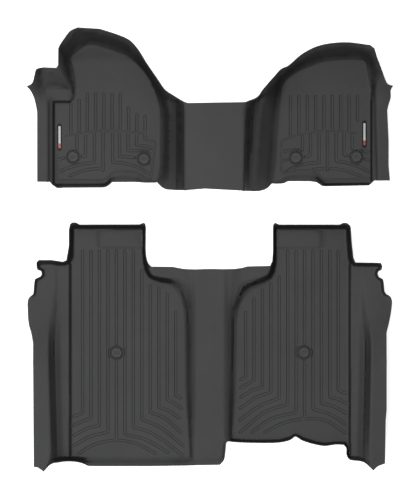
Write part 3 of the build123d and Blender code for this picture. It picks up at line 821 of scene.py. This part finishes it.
# ------------------------------------------------------------------ rear liner
@dataclass
class RearLiner:
    """The one-piece rear liner: two footwells, side flanges and a low hump between them."""

    left_pitch: float = 36.4
    left_first: float = -548.0
    right_pitch: float = 36.2
    right_first: float = 153.0
    hold_downs: tuple[Spot, ...] = ((-402, -442), (404, -440))

    def outline(self) -> tuple[Run, ...]:
        """The trimmed edge, clockwise from the left tab, with its heights."""
        return (
            line((-604, 93, 45), (-600, 111, 45), (-592, 117, 45), (-576, 117, 45),
                 (-562, 107, 45), (-301, 108, 45), (-288, 117, 45), (-278, 113, 45), (-279, 0, 45)),
            curve((-279, 0, 45), (-276, -30, 45), (-268, -57, 45), (-252, -71, 45)),
            line((-252, -71, 45), (-159, -72, 47)),
            curve((-159, -72, 47), (-125, -79, 50), (-86, -83, 60), (0, -81, 61), (86, -82, 60),
                  (130, -78, 50), (162, -70, 47)),
            line((162, -70, 47), (260, -68, 45), (270, -50, 45), (273, 0, 45), (273, 111, 45),
                 (280, 117, 45), (297, 107, 45), (559, 107, 45), (572, 115, 45), (589, 115, 45),
                 (602, 102, 45), (606, 42, 45), (614, -35, 45), (624, -56, 42), (735, -57, 42),
                 (740, -70, 38), (737, -86, 34), (722, -90, 34), (718, -102, 34), (724, -118, 34),
                 (743, -126, 34), (748, -177, 34), (757, -190, 32)),
            curve((757, -190, 32), (773, -198, 30), (782, -215, 26), (780, -255, 30),
                  (770, -311, 42), (759, -354, 61)),
            line((759, -354, 61), (759, -480, 100), (759, -685, 100), (755, -732, 100),
                 (752, -917, 100), (722, -928, 100), (701, -947, 100), (679, -926, 86)),
            curve((679, -926, 86), (662, -913, 62), (640, -906, 44), (602, -900, 31),
                  (589, -880, 28), (588, -850, 24), (575, -835, 22)),
            curve((575, -835, 22), (540, -834, 22), (494, -840, 22), (450, -833, 22),
                  (400, -818, 22), (366, -800, 22), (345, -814, 22), (301, -825, 22),
                  (193, -827, 22), (110, -824, 24), (77, -820, 42)),
            line((77, -820, 42), (67, -831, 42), (62, -885, 36)),
            curve((62, -885, 36), (58, -905, 36), (43, -923, 36)),
            line((43, -923, 36), (-258, -928, 28), (-525, -928, 28)),
            curve((-525, -928, 28), (-550, -914, 40), (-602, -906, 60), (-645, -910, 76),
                  (-685, -922, 90), (-714, -952, 100)),
            line((-714, -952, 100), (-740, -934, 100), (-757, -932, 100), (-760, -480, 100),
                 (-760, -400, 78)),
            curve((-760, -400, 78), (-768, -358, 58), (-779, -318, 44), (-783, -270, 32),
                  (-781, -210, 26), (-757, -188, 32)),
            line((-757, -188, 32), (-752, -126, 34), (-727, -116, 34), (-720, -104, 34),
                 (-724, -89, 34), (-742, -84, 36), (-744, -53, 42), (-735, -44, 42),
                 (-688, -44, 42), (-632, -53, 42), (-615, -46, 45), (-604, 20, 45), (-604, 93, 45)),
        )

    def floors(self) -> tuple[tuple[Run, ...], ...]:
        """The foot of the walls all round each footwell."""
        left = (
            line((-598, -55, 0), (-587, -40, 0), (-587, 89, 0), (-286, 89, 0), (-286, -50, 0)),
            curve((-286, -50, 0), (-279, -92, 0), (-262, -121, 0), (-215, -139, 0),
                  (-172, -150, 0), (-138, -184, 0), (-120, -222, 0), (-112, -262, 0)),
            line((-112, -262, 0), (-107, -340, 0), (-105, -600, 0), (-95, -760, 0), (-86, -890, 0),
                 (-598, -890, 0), (-598, -55, 0)),
        )
        right = (
            line((598, -55, 0), (598, -885, 0), (593, -885, 0), (593, -846, 0), (581, -826, 0),
                 (540, -824, 0), (494, -830, 0), (450, -823, 0), (400, -808, 0), (366, -789, 0),
                 (345, -804, 0), (301, -815, 0), (193, -817, 0), (95, -812, 0), (107, -600, 0),
                 (112, -302, 0)),
            curve((112, -302, 0), (125, -242, 0), (142, -207, 0), (172, -173, 0), (224, -147, 0),
                  (262, -126, 0), (279, -92, 0), (283, -50, 0)),
            line((283, -50, 0), (283, 89, 0), (588, 89, 0), (590, -40, 0), (598, -55, 0)),
        )
        return left, right

    def creases(self) -> tuple[tuple[Run, ...], ...]:
        """Every other line that stands at a known height."""
        return self.left_flange() + self.right_flange() + self.hump() + self.tabs()

    def left_flange(self) -> tuple[tuple[Run, ...], ...]:
        """Crest, hollow wall, bank and step of the left side, and its front lip."""
        return (
            (curve((-668, -66, 18), (-668, -180, 21), (-677, -216, 25), (-684, -259, 31),
                   (-688, -302, 40), (-692, -345, 58), (-694, -390, 76), (-694, -480, 100)),
             line((-694, -480, 100), (-683, -850, 100), (-690, -900, 100), (-707, -940, 100))),
            (line((-668, -230, 24), (-677, -300, 33), (-684, -390, 58), (-684, -480, 78),
                  (-674, -850, 78), (-676, -896, 78)),),
            (line((-652, -66, 14), (-654, -180, 15), (-660, -259, 17), (-664, -390, 28),
                  (-664, -480, 35), (-655, -850, 35), (-655, -891, 36)),),
            (line((-634, -66, 14), (-636, -215, 14), (-640, -390, 15), (-640, -480, 16),
                  (-632, -850, 16), (-632, -889, 17)),),
            (line((-616, -64, 13), (-615, -215, 13), (-615, -480, 12), (-611, -888, 12)),),
            (line((-605, -62, 13), (-605, -888, 13)),),
            (line((-598, -890, 0), (-605, -889, 13), (-632, -889, 17), (-655, -891, 36),
                  (-676, -897, 78)),),
            (line((-768, -222, 25), (-748, -198, 23), (-742, -134, 22), (-722, -125, 22),
                  (-710, -112, 22), (-710, -86, 21), (-716, -78, 21), (-732, -74, 20),
                  (-734, -64, 20), (-688, -62, 20), (-632, -68, 18), (-612, -62, 17)),),
        )

    def right_flange(self) -> tuple[tuple[Run, ...], ...]:
        """Crest, hollow wall, bank and step of the right side, and its front lip."""
        return (
            (curve((658, -68, 18), (667, -173, 21), (673, -216, 25), (679, -259, 31),
                   (684, -302, 40), (688, -345, 58), (692, -410, 82), (692, -480, 100)),
             line((692, -480, 100), (684, -845, 100), (688, -905, 100), (698, -938, 100))),
            (line((664, -230, 24), (672, -300, 33), (682, -390, 58), (682, -480, 78),
                  (674, -850, 78), (676, -900, 78)),),
            (line((645, -68, 14), (648, -180, 15), (654, -259, 17), (662, -390, 28),
                  (662, -480, 35), (654, -850, 35), (656, -890, 36)),),
            (line((630, -68, 14), (632, -215, 14), (638, -390, 15), (638, -480, 16),
                  (631, -850, 16), (631, -886, 17)),),
            (line((614, -66, 13), (613, -215, 13), (613, -480, 12), (609, -885, 12)),),
            (line((605, -64, 13), (605, -885, 13)),),
            (line((598, -885, 0), (605, -885, 13), (631, -886, 17), (656, -890, 36),
                  (676, -900, 78)),),
            (line((768, -226, 25), (746, -200, 23), (738, -188, 23), (734, -135, 22),
                  (714, -124, 22), (707, -104, 22), (711, -82, 21), (722, -78, 21),
                  (724, -72, 20), (624, -72, 17), (608, -62, 17)),),
        )

    def hump(self) -> tuple[tuple[Run, ...], ...]:
        """The shoulders, the ledges beside the seat tabs and the rear lip's foot."""
        return (
            (line((-60, -88, 61), (-60, -400, 58), (-60, -700, 47), (-66, -888, 21)),),
            (line((60, -88, 61), (60, -400, 58), (60, -700, 47), (62, -812, 36)),),
            (line((-77, -90, 58), (-78, -250, 50), (-78, -400, 48), (-76, -700, 38),
                  (-77, -890, 17)),),
            (line((77, -90, 58), (78, -250, 50), (78, -400, 48), (78, -700, 38),
                  (77, -812, 28)),),
            (curve((-268, -76, 44), (-249, -108, 45), (-215, -117, 45), (-160, -121, 45),
                   (-116, -126, 46), (-105, -160, 44), (-95, -203, 38), (-89, -245, 36)),),
            (curve((262, -72, 44), (249, -106, 45), (206, -121, 45), (150, -134, 45),
                   (129, -151, 45), (112, -203, 41), (99, -240, 36)),),
            (line((-125, -82, 49), (-116, -124, 46)),),
            (line((130, -82, 49), (140, -134, 45)),),
            (line((-86, -890, 0), (-77, -890, 17), (-66, -888, 21), (52, -888, 20),
                  (57, -826, 30)),),
            (line((0, -84, 61), (0, -400, 60), (0, -700, 48), (0, -888, 21)),),
        )

    def tabs(self) -> tuple[tuple[Run, ...], ...]:
        """The low raised panel on each tab."""
        return (
            (line((-492, 89, 0), (-492, 3, 0), (-286, 3, 0)),),
            (line((-470, 86, 8), (-470, 16, 8), (-290, 16, 8)),),
            (line((-290, 86, 8), (-470, 86, 8)),),
            (line((497, 89, 0), (497, 3, 0), (283, 3, 0)),),
            (line((466, 86, 8), (466, 16, 8), (287, 16, 8)),),
            (line((287, 86, 8), (466, 86, 8)),),
        )

    def left_ribs(self) -> tuple[Groove, ...]:
        """The channels of the left floor."""
        tops = (-5, -5, -5, -5, -5, -5, -5, -87, -152, -165, -190, -268)
        ends = (
            ((-548, -702), (-585, -715)),
            ((-512, -724), (-545, -735), (-585, -754)),
            ((-475, -754), (-530, -768), (-585, -797)),
            ((-439, -784), (-510, -800), (-585, -840)),
            ((-402, -817),),
            ((-366, -792), (-280, -814), (-181, -870)),
            ((-330, -762), (-258, -784), (-180, -834), (-120, -882)),
            ((-293, -728), (-215, -762), (-116, -840)),
            ((-257, -698), (-194, -723), (-125, -784)),
            ((-220, -676), (-175, -692), (-133, -723)),
            ((-184, -646), (-155, -658), (-125, -680)),
            ((-148, -625), (-127, -637)),
        )
        arc = sweep((-563, -874), (-494, -835), (-404, -818), (-322, -831), (-236, -874))
        return self.ribs(self.left_first, self.left_pitch, tops, ends, self.hold_downs[0]) + (arc,)

    def right_ribs(self) -> tuple[Groove, ...]:
        """The channels of the right floor."""
        tops = (-268, -207, -173, -147, -117, -5, -5, -5, -5, -5, -5, -5)
        ends = (
            ((153, -547), (133, -556)),
            ((189, -560), (133, -592)),
            ((225, -590), (180, -604), (133, -633)),
            ((262, -612), (195, -636), (130, -680)),
            ((298, -637), (210, -672), (128, -732)),
            ((334, -663), (235, -698), (130, -784)),
            ((370, -698), (258, -728), (181, -784)),
            ((406, -728),),
            ((443, -685), (516, -706), (583, -749)),
            ((479, -659), (535, -674), (584, -702)),
            ((515, -633), (555, -643), (585, -659)),
            ((551, -603), (583, -616)),
        )
        arc = sweep((236, -784), (314, -745), (408, -726), (494, -732), (582, -786))
        return self.ribs(self.right_first, self.right_pitch, tops, ends, self.hold_downs[1]) + (arc,)

    def ribs(self, first: float, pitch: float, tops: tuple[float, ...],
             ends: tuple[tuple[Spot, ...], ...],
             spot: Spot) -> tuple[Groove, ...]:
        """Straight channels that end in a sweep, with a break round the hold-down.

        Args:
            first: x of the leftmost.
            pitch: the distance between neighbours.
            tops: where each starts.
            ends: the bend and the sweep of each.
            spot: the hold-down's place.

        Returns:
            The channels.
        """
        out = []
        for k, (top, end) in enumerate(zip(tops, ends)):
            x = first + pitch * k
            turn = flat((x, end[0][1]), *end[1:])
            if len(turn) > 1:
                swept = evenly(smooth_through(np.array(turn, float)), 12)
                turn = tuple(tuple(p) for p in swept)
            if abs(x - spot[0]) < 12:
                out.append(straight_rib(x, top, spot[1] + 40))
                out.append(Groove(((x, spot[1] - 40, 0.0),) + turn))
            else:
                out.append(Groove(((x, top, 0.0),) + turn))
        return tuple(out)

    def sheet(self) -> PressedSheet:
        """The whole liner."""
        return PressedSheet("rear_liner_skin", self.outline(), self.creases(), self.floors(),
                            self.left_ribs() + self.right_ribs(),
                            tuple(Boss(at) for at in self.hold_downs), self.folds())

    def folds(self) -> tuple[PaintedFoldShade, ...]:
        """The tight folds of the side steps, tabs, notches and rear lips, whose steep sides get painted
        shade.
        """
        return (
            PaintedFoldShade(((-601, -62), (-601, -888)), 5.5),
            PaintedFoldShade(((601, -64), (601, -885)), 5.5),
            PaintedFoldShade(((-612, -48), (-597, -30), (-595, 103), (-283, 99), (-283, -40), (-270, -80),
                  (-255, -110), (-215, -128), (-172, -134)), 11.0),
            PaintedFoldShade(((278, 103), (278, -40), (271, -84), (252, -114), (215, -133), (168, -151)), 11.0),
            PaintedFoldShade(((168, -151), (148, -166)), 8.0),
            PaintedFoldShade(((148, -166), (136, -182)), 5.5),
            PaintedFoldShade(((136, -182), (128, -198)), 3.0),
            PaintedFoldShade(((285, 99), (590, 99), (598, 20), (606, -50)), 10.0),
            PaintedFoldShade(((-735, -54), (-632, -60), (-612, -54)), 9.0),
            PaintedFoldShade(((-736, -60), (-716, -95), (-718, -116), (-744, -130), (-751, -192),
                  (-775, -214)), 9.0),
            PaintedFoldShade(((618, -64), (730, -64), (712, -95), (716, -112), (738, -130), (746, -190),
                  (775, -214)), 9.0),
            PaintedFoldShade(((-540, -905), (-600, -897), (-645, -901), (-690, -915), (-712, -938)), 14.0),
            PaintedFoldShade(((95, -817), (193, -822), (301, -820), (345, -809), (366, -795), (400, -813),
                  (450, -828), (494, -835), (540, -829), (581, -831), (591, -855),
                  (592, -885)), 7.0),
            PaintedFoldShade(((600, -892), (640, -898), (676, -915)), 10.0),
        )


# -------------------------------------------------------------------- finishes
class Desk:
    """Lays shader nodes into one tree."""

    def __init__(self, tree: bpy.types.NodeTree) -> None:
        self.tree = tree

    def add(self, kind: str, links: dict | None = None, **settings) -> bpy.types.Node:
        """Adds a node.

        Args:
            kind: its type, without the leading ShaderNode.
            links: what goes into each of its inputs, an output or a plain value.
            **settings: its own settings.

        Returns:
            The node.
        """
        node = self.tree.nodes.new("ShaderNode" + kind)
        for name, value in settings.items():
            setattr(node, name, value)
        for name, value in (links or {}).items():
            socket = node.inputs[name]
            if isinstance(value, bpy.types.NodeSocket):
                self.tree.links.new(value, socket)
            else:
                socket.default_value = value
        return node

    def sum(self, kind: str, a, b) -> bpy.types.NodeSocket:
        """A Math node of one kind on two values."""
        return self.add("Math", {0: a, 1: b}, operation=kind).outputs[0]

    def spread(self, value, low: float, high: float, to_low: float,
               to_high: float) -> bpy.types.NodeSocket:
        """A value moved from one range to another, and kept inside it."""
        node = self.add("MapRange", {"Value": value, "From Min": low, "From Max": high,
                                     "To Min": to_low, "To Max": to_high})
        return node.outputs["Result"]

    def blend(self, share, a, b) -> bpy.types.NodeSocket:
        """A colour between two."""
        node = self.add("Mix", {}, data_type="RGBA")
        for index, value in ((0, share), (6, a), (7, b)):
            if isinstance(value, bpy.types.NodeSocket):
                self.tree.links.new(value, node.inputs[index])
            elif index == 0:
                node.inputs[index].default_value = value
            else:
                node.inputs[index].default_value = (*value, 1.0)
        return node.outputs[2]


def effect(name: str, inputs: dict[str, str], outputs: dict[str, str]) -> tuple[Desk, dict, dict]:
    """Starts a shared node group.

    Args:
        name: the group's name.
        inputs: socket type of each input.
        outputs: socket type of each output.

    Returns:
        Its desk, the sockets its inputs come from, and the sockets its outputs go to.
    """
    tree = bpy.data.node_groups.new(name, "ShaderNodeTree")
    for socket, kind in inputs.items():
        tree.interface.new_socket(socket, in_out="INPUT", socket_type=kind)
    for socket, kind in outputs.items():
        tree.interface.new_socket(socket, in_out="OUTPUT", socket_type=kind)
    desk = Desk(tree)
    start = tree.nodes.new("NodeGroupInput")
    end = tree.nodes.new("NodeGroupOutput")
    return desk, start.outputs, end.inputs


def pebble_grain() -> bpy.types.NodeTree:
    """Fine moulded-in pebble grain: its height, and its crowns, beside which the material paints shade
    into the low parts.
    """
    desk, given, out = effect("pebble_grain", {"Vector": "NodeSocketVector", "Cells": "NodeSocketFloat"},
                              {"Height": "NodeSocketFloat", "Crown": "NodeSocketFloat"})
    stir = desk.add("TexNoise", {"Vector": given["Vector"], "Scale": given["Cells"], "Detail": 2.0})
    shift = desk.add("VectorMath", {0: stir.outputs["Color"], "Scale": 0.0006}, operation="SCALE")
    moved = desk.add("VectorMath", {0: given["Vector"], 1: shift.outputs[0]}, operation="ADD")
    cells = desk.add("TexVoronoi", {"Vector": moved.outputs[0], "Scale": given["Cells"],
                                    "Smoothness": 0.35}, feature="SMOOTH_F1")
    crown = desk.spread(cells.outputs["Distance"], 0.12, 0.62, 1.0, 0.0)
    desk.tree.links.new(crown, out["Height"])
    desk.tree.links.new(crown, out["Crown"])
    return desk.tree


def handling() -> bpy.types.NodeTree:
    """Soft uneven patches and edges rubbed by handling."""
    desk, given, out = effect("handling", {"Vector": "NodeSocketVector", "Patch": "NodeSocketFloat",
                                           "Rub": "NodeSocketFloat"},
                              {"Patches": "NodeSocketFloat", "Edges": "NodeSocketFloat"})
    large = desk.add("TexNoise", {"Vector": given["Vector"], "Scale": given["Patch"], "Detail": 4.0,
                                  "Roughness": 0.6})
    desk.tree.links.new(desk.spread(large.outputs["Fac"], 0.32, 0.68, 0.0, 1.0), out["Patches"])
    form = desk.add("NewGeometry")
    edge = desk.spread(form.outputs["Pointiness"], 0.52, 0.62, 0.0, 1.0)
    fleck = desk.add("TexNoise", {"Vector": given["Vector"], "Scale": 420.0, "Detail": 3.0})
    broken = desk.spread(fleck.outputs["Fac"], 0.35, 0.6, 0.4, 1.0)
    worn = desk.sum("MULTIPLY", desk.sum("MULTIPLY", edge, broken), given["Rub"])
    desk.tree.links.new(worn, out["Edges"])
    return desk.tree


def hook_pile() -> bpy.types.NodeTree:
    """Short hooks standing in rows: their height, and their tips, beside which the material paints shade
    on the ground.
    """
    desk, given, out = effect("hook_pile", {"Vector": "NodeSocketVector"},
                              {"Height": "NodeSocketFloat", "Tips": "NodeSocketFloat"})
    rows = desk.add("TexVoronoi", {"Vector": given["Vector"], "Scale": 750.0, "Randomness": 0.45})
    tip = desk.spread(rows.outputs["Distance"], 0.1, 0.5, 1.0, 0.0)
    desk.tree.links.new(tip, out["Height"])
    desk.tree.links.new(tip, out["Tips"])
    return desk.tree


class Texture(Enum):
    """The kinds of surface that the pieces have."""

    PEBBLE = "pebble"
    SATIN = "satin"
    HOOKS = "hooks"
    GLOSS = "gloss"


@dataclass(frozen=True)
class Finish:
    """One slot's finish, from which its material is made."""

    slot: str
    dark: tuple[float, float, float]
    light: tuple[float, float, float]
    texture: Texture
    rough: tuple[float, float] = (0.5, 0.65)
    cells: float = 700.0
    relief: float = 0.00018
    rub: float = 0.5
    patch: float = 4.0
    coat: float = 0.0
    specular: float = 0.4
    # True to paint shade on channel flanks, steep fold sides and steep walls.
    paints_wall_shade: bool = False

    def material(self, groups: dict[str, bpy.types.NodeTree]) -> bpy.types.Material:
        """Makes the material.

        Args:
            groups: the shared effects, by name.

        Returns:
            The material.
        """
        material = bpy.data.materials.new(self.slot + "_finish")
        material.use_nodes = True
        desk = Desk(material.node_tree)
        desk.tree.nodes.clear()
        place = desk.add("TexCoord").outputs["Object"]
        wear = self.place(desk, groups["handling"], {"Vector": place, "Patch": self.patch,
                                                     "Rub": self.rub})
        colour = desk.blend(wear["Patches"], self.dark, self.light)
        if self.texture is Texture.HOOKS:
            pile = self.place(desk, groups["hook_pile"], {"Vector": place})
            height, crown = pile["Height"], pile["Tips"]
        else:
            grain = self.place(desk, groups["pebble_grain"], {"Vector": place, "Cells": self.cells})
            height, crown = grain["Height"], grain["Crown"]
        # Painted shade in the texture's low parts, beside its crowns.
        shade = desk.spread(crown, 0.0, 1.0, self.ground(), 1.0)
        # Painted shade: faces marked by the flank attribute drop to 0.3 of the colour, and steep walls
        # darken with their slope.
        if self.paints_wall_shade:
            flank = desk.add("Attribute", attribute_name="flank").outputs["Fac"]
            lean = desk.add("SeparateXYZ", {0: desk.add("NewGeometry").outputs["Normal"]}).outputs["Z"]
            shade = desk.sum("MULTIPLY", shade, desk.spread(flank, 0.0, 1.0, 1.0, 0.3))
            shade = desk.sum("MULTIPLY", shade, desk.spread(lean, 0.2, 0.76, 0.25, 1.0))
        shaded = desk.add("VectorMath", {0: colour, "Scale": shade}, operation="SCALE").outputs[0]
        worn = desk.blend(wear["Edges"], shaded, tuple(2.2 * c for c in self.light))
        bump = desk.add("Bump", {"Height": height, "Strength": 0.55, "Distance": self.relief})
        rough = desk.spread(crown, 0.0, 1.0, self.rough[1], self.rough[0])
        shader = desk.add("BsdfPrincipled", {"Base Color": worn, "Roughness": rough,
                                             "Normal": bump.outputs[0],
                                             "Specular IOR Level": self.specular,
                                             "Coat Weight": self.coat, "Coat Roughness": 0.12})
        desk.add("OutputMaterial", {"Surface": shader.outputs[0]})
        return material

    def ground(self) -> float:
        """How dark the painted shade in the low parts of the texture is, beside its crowns."""
        return {Texture.PEBBLE: 0.82, Texture.SATIN: 0.95, Texture.HOOKS: 0.3,
                Texture.GLOSS: 0.98}[self.texture]

    def place(self, desk: Desk, tree: bpy.types.NodeTree, given: dict) -> dict:
        """Places a shared effect, and gives its outputs by name."""
        node = desk.tree.nodes.new("ShaderNodeGroup")
        node.node_tree = tree
        for name, value in given.items():
            if isinstance(value, bpy.types.NodeSocket):
                desk.tree.links.new(value, node.inputs[name])
            else:
                node.inputs[name].default_value = value
        return {socket.name: socket for socket in node.outputs}


FINISHES = (
    Finish("liner", (0.036, 0.0365, 0.038), (0.042, 0.0425, 0.044), Texture.PEBBLE, (0.5, 0.68),
           specular=0.25, paints_wall_shade=True),
    Finish("grommet", (0.008, 0.008, 0.009), (0.011, 0.011, 0.012), Texture.SATIN, (0.42, 0.55),
           relief=0.00004, rub=0.3, patch=30.0, specular=0.15),
    Finish("turn_cap", (0.044, 0.044, 0.045), (0.054, 0.054, 0.055), Texture.PEBBLE, (0.5, 0.65),
           cells=1100.0, relief=0.00012, rub=0.5, patch=40.0, specular=0.22),
    Finish("hold_down_base", (0.018, 0.018, 0.019), (0.024, 0.024, 0.025), Texture.SATIN,
           relief=0.00005, rub=0.3, patch=30.0, specular=0.2),
    Finish("grip_tape", (0.012, 0.012, 0.013), (0.020, 0.020, 0.021), Texture.HOOKS, (0.8, 0.95),
           relief=0.0004, rub=0.0, patch=60.0, specular=0.15),
    Finish("badge_plate", (0.006, 0.006, 0.006), (0.009, 0.009, 0.009), Texture.GLOSS, (0.35, 0.45),
           relief=0.00002, rub=0.2, patch=30.0, specular=0.12),
    Finish("badge_stripe", (0.34, 0.34, 0.34), (0.42, 0.42, 0.42), Texture.GLOSS, (0.3, 0.4),
           relief=0.00002, rub=0.0, patch=30.0, coat=0.1),
    Finish("badge_accent", (0.24, 0.022, 0.028), (0.32, 0.035, 0.04), Texture.GLOSS, (0.3, 0.4),
           relief=0.00002, rub=0.0, patch=30.0, coat=0.1),
)


# ---------------------------------------------------------------------- studio
@dataclass
class Studio:
    """A pale floor and backdrop, soft light from above, and the camera straight overhead."""

    view_width: float = 1.806
    view_height: float = 2.15
    lens: float = 1300.0
    film: float = 36.0
    floor_size: float = 40.0
    lamp_height: float = 4.0

    def build(self) -> None:
        """Sets it all up."""
        self.floor()
        self.lamp("overhead", (-0.6, -0.6, self.lamp_height), (1.6, 14.0), 385.0)
        self.world()
        self.camera()
        bpy.context.scene.view_settings.view_transform = "Standard"

    def floor(self) -> None:
        """The floor, just under the set."""
        bm = bmesh.new()
        bmesh.ops.create_grid(bm, x_segments=8, y_segments=8, size=self.floor_size / 2)
        bmesh.ops.translate(bm, verts=bm.verts, vec=(0, 0, -0.001))
        data = bpy.data.meshes.new("studio_floor")
        bm.to_mesh(data)
        bm.free()
        floor = bpy.data.objects.new("studio_floor", data)
        bpy.context.scene.collection.objects.link(floor)
        material = bpy.data.materials.new("studio_paper")
        material.use_nodes = True
        shader = material.node_tree.nodes["Principled BSDF"]
        shader.inputs["Base Color"].default_value = (0.93, 0.93, 0.93, 1)
        shader.inputs["Roughness"].default_value = 0.9
        shader.inputs["Emission Color"].default_value = (1, 1, 1, 1)
        shader.inputs["Emission Strength"].default_value = 0.8
        data.materials.append(material)

    def lamp(self, name: str, spot: Point, size: tuple[float, float], power: float) -> None:
        """A long soft lamp that points straight down."""
        light = bpy.data.lights.new(name, "AREA")
        light.shape = "RECTANGLE"
        light.size, light.size_y = size
        light.energy = power
        lamp = bpy.data.objects.new(name, light)
        lamp.location = spot
        bpy.context.scene.collection.objects.link(lamp)

    def world(self) -> None:
        """A faint even backdrop light."""
        world = bpy.data.worlds.new("pale_backdrop")
        world.use_nodes = True
        world.node_tree.nodes["Background"].inputs["Color"].default_value = (1, 1, 1, 1)
        world.node_tree.nodes["Background"].inputs["Strength"].default_value = 0.25
        bpy.context.scene.world = world

    def camera(self) -> None:
        """The camera, far above the middle and looking straight down."""
        data = bpy.data.cameras.new("overhead_camera")
        data.sensor_fit = "VERTICAL"
        data.sensor_width = self.film
        data.sensor_height = self.film
        data.lens = self.lens
        data.clip_end = 200.0
        camera = bpy.data.objects.new("overhead_camera", data)
        camera.location = (0, 0, self.view_height * self.lens / self.film)
        bpy.context.scene.collection.objects.link(camera)
        bpy.context.scene.camera = camera


# ---------------------------------------------------------------------- pieces
def dress(node: bpy.types.Object, material: bpy.types.Material) -> None:
    """Gives a model node its finish."""
    if node.material_slots:
        for slot in node.material_slots:
            slot.material = material
    else:
        node.data.materials.append(material)


@dataclass
class HoldDown:
    """One quarter-turn hold-down: its hooked pad, base, grommet and cap."""

    place: str

    def build(self, nodes: dict, finishes: dict[str, bpy.types.Material]) -> None:
        """Dresses its five pieces."""
        for part, slot in (("hook_pad", "grip_tape"), ("base_post", "hold_down_base"),
                           ("lower_ring", "grommet"), ("upper_ring", "grommet"),
                           ("turn_cap", "turn_cap")):
            dress(nodes[f"{self.place}_{part}"], finishes[slot])
            LOG.info("dressed %s_%s", self.place, part)


@dataclass
class Badge:
    """One small plate with a plain stripe and a coloured tile."""

    side: str

    def build(self, nodes: dict, finishes: dict[str, bpy.types.Material]) -> None:
        """Dresses its three pieces."""
        for part in ("plate", "stripe", "accent"):
            dress(nodes[f"{self.side}_badge_{part}"], finishes["badge_" + part])
            LOG.info("dressed %s_badge_%s", self.side, part)


def main() -> None:
    """Builds the set in order: finishes, liners, hold-downs, badges, studio."""
    logging.basicConfig(level=logging.INFO, format="%(name)s: %(message)s")
    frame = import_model()
    groups = {tree.name: tree for tree in (pebble_grain(), handling(), hook_pile())}
    finishes = {finish.slot: finish.material(groups) for finish in FINISHES}
    for liner, node, body in ((FrontLiner(), "front_liner", "front"),
                              (RearLiner(), "rear_liner", "rear")):
        skin = liner.sheet().build()
        skin.data.materials.append(finishes["liner"])
        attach(skin, body)
        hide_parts(node)
        LOG.info("pressed %s with %d faces", skin.name, len(skin.data.polygons))
    for place in ("driver_outer", "driver_inner", "passenger_inner", "passenger_outer",
                  "rear_left", "rear_right"):
        HoldDown(place).build(frame["nodes"], finishes)
    for side in ("driver", "passenger"):
        Badge(side).build(frame["nodes"], finishes)
    Studio().build()


if __name__ == "__main__":
    main()
